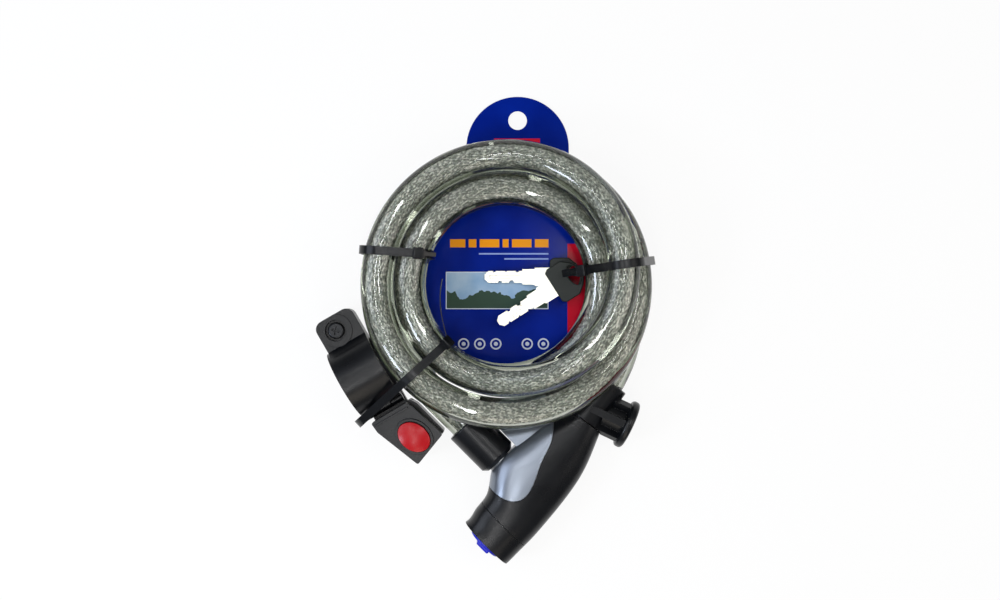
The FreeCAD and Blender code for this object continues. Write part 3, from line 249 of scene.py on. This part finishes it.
def frames_along(line, step):
    """Points a step apart along a line, each with two directions square to the line."""
    spaced, left = [line[0]], step
    for a, b in zip(line, line[1:]):
        gap = (b - a).length
        while gap >= left:
            a = a + (b - a) * (left / gap)
            gap -= left
            spaced.append(a)
            left = step
        left -= gap
    side = Vector((0, 0, 1))
    frames = []
    for i, p in enumerate(spaced):
        ahead = (spaced[min(i + 1, len(spaced) - 1)] - spaced[max(i - 1, 0)]).normalized()
        side = (side - ahead * side.dot(ahead)).normalized()
        frames.append((p, side, ahead.cross(side)))
    return frames


def tube_mesh(name, paths, radius, sides, material):
    """Thin closed tubes along rows of points, as one mesh that knows how far along it is."""
    vertices, faces, reach = [], [], []
    for number, path in enumerate(paths):
        base, along = len(vertices), 0.0
        side = Vector((0.3, 0.2, 0.9))
        for i, p in enumerate(path):
            ahead = (path[min(i + 1, len(path) - 1)] - path[max(i - 1, 0)]).normalized()
            side = (side - ahead * side.dot(ahead)).normalized()
            other = ahead.cross(side)
            along += (p - path[max(i - 1, 0)]).length
            reach += [along, number * 10 * mm, 0.0] * sides
            for k in range(sides):
                turn = 2 * math.pi * k / sides
                across = side * (radius * math.cos(turn)) + other * (radius * math.sin(turn))
                vertices.append(p + across)
        for i in range(len(path) - 1):
            for k in range(sides):
                a, b = base + i * sides + k, base + i * sides + (k + 1) % sides
                faces.append((a, b, b + sides, a + sides))
        faces.append([base + k for k in range(sides)][::-1])
        faces.append([base + (len(path) - 1) * sides + k for k in range(sides)])
    mesh = bpy.data.meshes.new(name)
    mesh.from_pydata(vertices, [], faces)
    mesh.attributes.new("along", "FLOAT_VECTOR", "POINT").data.foreach_set("vector", reach)
    mesh.materials.append(material)
    mesh.shade_smooth()
    piece = bpy.data.objects.new(name, mesh)
    bpy.context.collection.objects.link(piece)
    return piece


def braid_paths(line, hand):
    """The wires that wind one way round the rope."""
    frames = frames_along(line, wire_step)
    paths = []
    for wire in range(wires_each_way):
        path = []
        for i, (p, side, other) in enumerate(frames):
            along = 2 * math.pi * i * wire_step / braid_pitch
            turn = hand * along + 2 * math.pi * wire / wires_each_way
            crossing = math.cos(wires_each_way * along + math.pi * wire)
            reach = braid_radius + braid_lift * crossing * hand
            path.append(p + side * (reach * math.cos(turn)) + other * (reach * math.sin(turn)))
        paths.append(path)
    return paths


# Drawn steel wire: bright and sharp in its glints. Its colour is painted with glints, short
# bright flecks along each wire, and its gloss changes with them.
bright_wire, tree, shader, place = new_material("bright_steel_wire")
along = add(tree, "Attribute", attribute_name="along").outputs["Vector"]
glint = add(tree, "TexNoise", {"Vector": along, "Scale": cells(fleck_mm), "Detail": 2.0})
# Painted highlight: near-white glint flecks are mixed into the wire's colour.
painted_glint_mask = add(tree, "MapRange", {"Value": glint.outputs[0], "From Min": 0.44, "From Max": 0.6})
tree.links.new(mixed(tree, painted_glint_mask.outputs[0], "A6AAA2", "FFFFFA"), shader.inputs["Base Color"])
dull = add(tree, "MapRange", {"Value": glint.outputs[0], "To Min": 0.5, "To Max": 0.22})
tree.links.new(dull.outputs[0], shader.inputs["Roughness"])
nick = add(tree, "Bump", {"Height": glint.outputs[0], "Strength": 0.5, "Distance": 0.4 * mm})
tree.links.new(nick.outputs[0], shader.inputs["Normal"])
shader.inputs["Metallic"].default_value = 0.85

# Stranded steel rope: duller and greyer than the braid, rough with the lay of its strands.
rope_steel, tree, shader, place = new_material("grey_steel_rope")
lay = add(tree, "TexNoise", {"Vector": place, "Scale": cells(rope_lay_mm), "Detail": 3.0})
tree.links.new(mixed(tree, lay.outputs[0], "94988E", "D8D9D1"), shader.inputs["Base Color"])
dent = add(tree, "Bump", {"Height": lay.outputs[0], "Strength": 0.6, "Distance": 0.4 * mm})
tree.links.new(dent.outputs[0], shader.inputs["Normal"])
shader.inputs["Metallic"].default_value = 0.6
shader.inputs["Roughness"].default_value = 0.45

lead_line = line_of(lead_route)
coil_inside, lead_inside = [], []
for line, label, inside in (
    (line_of(coil_route), "coil", coil_inside),
    (lead_line, "lead", lead_inside),
):
    ahead, behind = (line[1] - line[0]).normalized(), (line[-1] - line[-2]).normalized()
    inner = [line[0] + ahead * end_margin] + line[1:-1] + [line[-1] - behind * end_margin]
    inside.append(tube_mesh(label + "_rope", [inner], rope_radius, 14, rope_steel))
    for hand, way in ((1, "right"), (-1, "left")):
        name = "%s_braid_%s" % (label, way)
        inside.append(tube_mesh(name, braid_paths(inner, hand), wire_radius, 4, bright_wire))

for piece in [coil] + coil_inside:
    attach(piece, "coil")
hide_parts("cable_jacket")
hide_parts("cable_core")
for piece in [lead] + lead_inside:
    cable_point(bend_end_angle)
    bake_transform(piece)
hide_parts("lead_jacket")
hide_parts("lead_core")

# The black shells: the lock head's cover with its end cap, collar and ribbed stud, the
# ferrule's sleeve and the holder's cover. They are moulded ABS, screwed or pressed on.
patch_mm = 14.3


def worn_and_edge_lit_surface(name, body, rubbed_and_sheen, roughness, grain_mm, metallic=0.0, edge_mm=0.35, spread=0.08):
    """A surface with grain of a real size, uneven gloss, and lighter edges that are partly rubbed
    wear and partly a painted edge highlight.
    """
    material, tree, shader, place = new_material(name)
    soft = add(tree, "Bevel", {"Radius": edge_mm * mm}, samples=4)
    flat = add(tree, "NewGeometry")
    alike = add(
        tree, "VectorMath", {0: soft.outputs[0], 1: flat.outputs["Normal"]},
        operation="DOT_PRODUCT",
    )
    edge = add(
        tree, "MapRange", {"Value": alike.outputs["Value"], "From Min": 0.995, "From Max": 0.85}
    )
    grain = add(tree, "TexNoise", {"Vector": place, "Scale": cells(grain_mm), "Detail": 2.0})
    cloud = add(tree, "TexNoise", {"Vector": place, "Scale": cells(patch_mm), "Detail": 3.0})
    some = add(tree, "Math", {0: cloud.outputs[0], 1: 0.15}, operation="MULTIPLY")
    # The lighter colour on the edges is partly rubbed wear and partly a painted edge highlight.
    rubbed_and_highlit_edge = add(tree, "Math", {0: edge.outputs[0], 1: cloud.outputs[0]}, operation="MULTIPLY")
    base = mixed(tree, some.outputs[0], body, rubbed_and_sheen)
    gloss = add(
        tree, "MapRange",
        {"Value": cloud.outputs[0], "To Min": roughness - spread, "To Max": roughness + spread},
    )
    bump = add(
        tree, "Bump",
        {
            "Height": grain.outputs[0],
            "Strength": 0.3,
            "Distance": 0.12 * grain_mm * mm,
            "Normal": soft.outputs[0],
        },
    )
    tree.links.new(mixed(tree, rubbed_and_highlit_edge.outputs[0], base, rubbed_and_sheen), shader.inputs["Base Color"])
    tree.links.new(gloss.outputs[0], shader.inputs["Roughness"])
    tree.links.new(bump.outputs[0], shader.inputs["Normal"])
    shader.inputs["Metallic"].default_value = metallic
    shader.inputs["Specular IOR Level"].default_value = 0.5 if metallic else 0.3
    return material


def finish(nodes, material):
    """Gives pieces that keep the shape of the model their material."""
    for name in nodes.split():
        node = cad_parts[name]
        node.data.materials.clear()
        node.data.materials.append(material)


# Moulded ABS with a fine spark-eroded grain: deep black, with soft wide highlights.
black_abs = worn_and_edge_lit_surface("black_moulded_abs", "06070A", "26292E", 0.29, 0.35)
finish("head_cover end_cap collar_sleeve mount_stud ferrule_sleeve holder_cover", black_abs)

# The silver panel on the head: an ABS leaf in metallic paint, clipped into the cover. The
# flakes give a cool, even sheen without a sharp mirror.
silver_paint = worn_and_edge_lit_surface(
    "silver_painted_abs", "767D88", "C0C6CE", 0.3, 0.25, metallic=0.85, edge_mm=0.12, spread=0.05
)
finish("silver_trim", silver_paint)

# The face of the key plug: blue moulded ABS with the grip bar, turned with the key. It is
# coloured through, so it stays bright blue in the slot; its lighter edges are partly rubbed and
# partly a painted edge highlight.
blue_abs = worn_and_edge_lit_surface("blue_moulded_abs", "1018B4", "4A58E8", 0.34, 0.35)
finish("plug_face", blue_abs)

# The lock's inside and the cable's ends: a zinc case with the cylinder's housing, a milled
# brass plug with its wafers, and a turned pin, bush, plate and screws of plain steel.
# Die-cast zinc is pale and matt from the mould, turned steel cooler and shinier with fine
# tool marks, and milled brass yellow and bright.
zinc = worn_and_edge_lit_surface("die_cast_zinc", "8E9094", "C4C6C8", 0.45, 0.5, metallic=1.0)
steel = worn_and_edge_lit_surface("turned_steel", "9EA1A5", "D5D7D9", 0.3, 0.3, metallic=1.0)
brass = worn_and_edge_lit_surface("milled_brass", "B8923C", "DDBE70", 0.32, 0.4, metallic=1.0)
finish("lock_case cable_anchor cylinder_housing ferrule_crimp", zinc)
finish("cover_screws wafer_springs latch_plate pin_socket stud_screw locking_pin", steel)
finish("key_plug wafers", brass)

# The bracket: two halves of glass-filled nylon, hinged on a steel pin and drawn together
# by a blackened cross-head screw and nut round a rubber liner, with the holder's base on
# the lower half. The nylon has a dry, even black, the blackened steel a grey glint in its
# cross, partly a painted highlight on the cross's edges, and the soft rubber is matt.
black_nylon = worn_and_edge_lit_surface("black_moulded_nylon", "050608", "202328", 0.3, 0.4)
black_steel = worn_and_edge_lit_surface(
    "blackened_steel", "0E0F11", "55575B", 0.3, 0.3, metallic=0.6, spread=0.1
)
rubber = worn_and_edge_lit_surface("black_soft_rubber", "1A1A1B", "303031", 0.7, 0.5)
finish("clamp_upper clamp_lower holder_base", black_nylon)
finish("clamp_screw clamp_nut", black_steel)
finish("tube_liner", rubber)
finish("hinge_pin holder_screws button_spring", steel)

# The red button of the holder: glossy moulded ABS, domed, pressed down to free the stud.
red_abs = worn_and_edge_lit_surface("red_gloss_abs", "A80611", "CA2A35", 0.28, 0.6)
finish("release_button", red_abs)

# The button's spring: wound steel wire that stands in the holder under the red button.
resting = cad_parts["button_spring"]
wound = resting.data.copy()
wound.transform(resting.matrix_world)
spring = bpy.data.objects.new("button_spring_wire", wound)
bpy.context.collection.objects.link(spring)
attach(spring, "coil")
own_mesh(spring)
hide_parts("button_spring")

# The three cable ties: smooth extruded nylon straps, pulled tight round the turns. Their
# skin is glossier than a moulding, with a thin painted highlight along each edge.
tie_nylon = worn_and_edge_lit_surface(
    "black_nylon_strap", "08090B", "2C2F35", 0.22, 0.6, edge_mm=0.2, spread=0.05
)
finish("tie_right tie_left tie_low", tie_nylon)

# The two keys: stamped brass blades, nickel plated to a warm bright white, in bows of dark
# olive ABS that is matt from handling. They hang on the right tie.
nickel = worn_and_edge_lit_surface(
    "nickel_plated_brass", "D2D0C4", "F4F2E8", 0.3, 0.35, metallic=0.8, edge_mm=0.25
)
olive_abs = worn_and_edge_lit_surface("dark_olive_abs", "171C18", "3A3F37", 0.5, 0.3)
finish("key_blade_a key_blade_b", nickel)
finish("key_bow_a key_bow_b", olive_abs)

# The hanger card: white board, printed deep blue and varnished, with a red strip along its
# right edge. The print is a plain design of orange blocks, bars, one picture and rings.
# Each rectangle is left, right, bottom, top; the varnish gives the ink a low, even gloss.
red_strip = (48.2, 70, -30, 49.5)
orange_blocks = ((-21, -12), (-10, -5.5), (-3.5, 8), (10, 13.5), (15.5, 27), (29, 37))
block_band = (47.4, 52.2)
thin_bars = ((-4, 37, 43.6), (11, 37, 40.6))
bar_half = 0.45
picture_edge, picture_inside = (-23.5, 37, 11, 33), (-23, 36.5, 11.5, 32.5)
hill_mm, hill_rise, hill_foot = 12.5, 30, 6
ring_places, ring_level = (-13, -3.5, 6, 24.5, 34), -9.5
ring_radius, ring_half, dot_radius = 2.9, 0.45, 0.6
tab_strip, tab_line = (5, 32, 107.4, 111.6), (5, 32, 106.0, 106.8)
ink_cloud_mm, fibre_mm = 22.2, 0.625
printed_board, tree, shader, place = new_material("varnished_printed_board")
apart = add(tree, "SeparateXYZ", {"Vector": place})


def covers(left, right, bottom, top):
    """1 on an upright rectangle of the card and 0 beside it."""
    inside = []
    for side, low, high in (("X", left, right), ("Y", bottom, top)):
        middle, half = (low + high) / 2 * mm, (high - low) / 2 * mm
        values = {0: apart.outputs[side], 1: middle, 2: half}
        inside.append(add(tree, "Math", values, operation="COMPARE").outputs[0])
    return add(tree, "Math", {0: inside[0], 1: inside[1]}, operation="MULTIPLY").outputs[0]


def ring_at(x, y, radius, half_width):
    """1 on a ring of the card and 0 beside it."""
    flat = add(tree, "CombineXYZ", {"X": apart.outputs["X"], "Y": apart.outputs["Y"]})
    far = add(
        tree, "VectorMath", {0: flat.outputs[0], 1: (x * mm, y * mm, 0)}, operation="DISTANCE"
    )
    values = {0: far.outputs["Value"], 1: radius * mm, 2: half_width * mm}
    return add(tree, "Math", values, operation="COMPARE").outputs[0]


cloud = add(tree, "TexNoise", {"Vector": place, "Scale": cells(ink_cloud_mm), "Detail": 4.0})
ink = mixed(tree, cloud.outputs[0], "00126A", "02289C")
ink = mixed(tree, covers(*red_strip), ink, "C4122A")
for left, right in orange_blocks:
    ink = mixed(tree, covers(left, right, *block_band), ink, "F09A1C")
for left, right, level in thin_bars:
    ink = mixed(tree, covers(left, right, level - bar_half, level + bar_half), ink, "8FA3D8")
hill = add(tree, "TexNoise", {"Vector": place, "Scale": cells(hill_mm), "Detail": 3.0})
sky = mixed(tree, hill.outputs[0], "5E93C4", "C9DCE8")
rise = add(
    tree, "Math", {0: hill.outputs[0], 1: hill_rise * mm, 2: hill_foot * mm},
    operation="MULTIPLY_ADD",
)
ground = add(
    tree, "Math", {0: apart.outputs["Y"], 1: rise.outputs[0]}, operation="LESS_THAN"
)
picture = mixed(tree, ground.outputs[0], sky, "3C5044")
ink = mixed(tree, covers(*picture_edge), ink, "D8E0EC")
ink = mixed(tree, covers(*picture_inside), ink, picture)
for x in ring_places:
    ink = mixed(tree, ring_at(x, ring_level, ring_radius, ring_half), ink, "DCE2F0")
    ink = mixed(tree, ring_at(x, ring_level, dot_radius, dot_radius), ink, "DCE2F0")
ink = mixed(tree, covers(*tab_strip), ink, "D8203A")
ink = mixed(tree, covers(*tab_line), ink, "E8ECF4")
fibre = add(tree, "TexNoise", {"Vector": place, "Scale": cells(fibre_mm), "Detail": 2.0})
dent = add(tree, "Bump", {"Height": fibre.outputs[0], "Strength": 0.15, "Distance": 0.03 * mm})
gloss = add(tree, "MapRange", {"Value": cloud.outputs[0], "To Min": 0.12, "To Max": 0.2})
tree.links.new(ink, shader.inputs["Base Color"])
tree.links.new(gloss.outputs[0], shader.inputs["Roughness"])
tree.links.new(dent.outputs[0], shader.inputs["Normal"])
shader.inputs["Specular IOR Level"].default_value = 0.06
finish("hanger_card", printed_board)

# The floor: a pale paper sheet under the lock, matt, and near white where the camera,
# the gloss of the pieces or the clear jacket look at it. It keeps the lock's shadow.
floor_half, floor_drop = 4.0, 0.2 * mm
own_glow = 0.9
floor_mesh = bpy.data.meshes.new("pale_floor")
shape = bmesh.new()
bmesh.ops.create_grid(shape, x_segments=1, y_segments=1, size=floor_half)
shape.to_mesh(floor_mesh)
shape.free()
floor = bpy.data.objects.new("pale_floor", floor_mesh)
floor.location.z = -floor_drop
bpy.context.collection.objects.link(floor)
pale_sheet, tree, shader, place = new_material("pale_studio_sheet")
shader.inputs["Base Color"].default_value = linear("F4F4F4")
shader.inputs["Roughness"].default_value = 0.9
rays = add(tree, "LightPath")
seen = add(
    tree, "Math", {0: rays.outputs["Is Camera Ray"], 1: rays.outputs["Is Glossy Ray"]},
    operation="MAXIMUM",
)
seen = add(
    tree, "Math", {0: seen.outputs[0], 1: rays.outputs["Is Transmission Ray"]}, operation="MAXIMUM"
)
share = add(tree, "Math", {0: seen.outputs[0], 1: own_glow}, operation="MULTIPLY")
glow = add(tree, "Emission", {"Strength": 1.0})
both = add(tree, "MixShader", {0: share.outputs[0], 1: shader.outputs[0], 2: glow.outputs[0]})
tree.links.new(both.outputs[0], tree.get_output_node("ALL").inputs["Surface"])
floor.data.materials.append(pale_sheet)

# The room and its lights: a bright cool room that the camera sees white, long narrow lamps
# whose reflections lie along the turns, broad soft panels round the sides, and one lamp
# that lights the silver panel of the head.
room = bpy.data.worlds.new("bright_room")
bpy.context.scene.world = room
room.use_nodes = True
tree = room.node_tree
tree.nodes.clear()
rays = add(tree, "LightPath")
lit = add(tree, "Background", {"Color": (0.93, 0.96, 1.0, 1.0), "Strength": 0.22})
white = add(tree, "Background", {"Color": (1.0, 1.0, 1.0, 1.0), "Strength": 1.0})
both = add(
    tree, "MixShader", {0: rays.outputs["Is Camera Ray"], 1: lit.outputs[0], 2: white.outputs[0]}
)
add(tree, "OutputWorld", {"Surface": both.outputs[0]})
light_middle = Vector((0, 0.02, 0.02))
for name, azimuth, out, height, length, width, power, colour in (
    ("lamp_right", 30, 0.24, 0.78, 0.34, 0.03, 0.8, "FFFFFF"),
    ("lamp_left", 140, 0.26, 0.78, 0.30, 0.03, 0.65, "FFFFFF"),
    ("lamp_low", 256, 0.24, 0.74, 0.30, 0.03, 0.7, "FFFFFF"),
    ("lamp_over", 196, 0.19, 0.78, 0.16, 0.12, 0.3, "FFFFFF"),
    ("panel_left", 165, 0.75, 0.62, 0.6, 0.45, 2.4, "E8F0FF"),
    ("panel_right", 350, 0.75, 0.62, 0.6, 0.45, 2.1, "FFF8F0"),
    ("panel_low", 275, 0.70, 0.55, 0.5, 0.35, 1.3, "FFF4E4"),
    ("lamp_head", 205, 0.52, 0.50, 0.16, 0.16, 1.8, "E4EEFF"),
):
    lamp = bpy.data.lights.new(name, "AREA")
    lamp.shape = "RECTANGLE"
    lamp.size = length
    lamp.size_y = width
    lamp.energy = power
    lamp.color = linear(colour)[:3]
    holder = bpy.data.objects.new(name, lamp)
    turn = math.radians(azimuth)
    holder.location = (out * math.cos(turn), out * math.sin(turn) + light_middle.y, height)
    aim = light_middle - holder.location
    holder.rotation_euler = aim.to_track_quat("-Z", "X").to_euler()
    bpy.context.collection.objects.link(holder)
bpy.context.scene.view_settings.view_transform = "Standard"
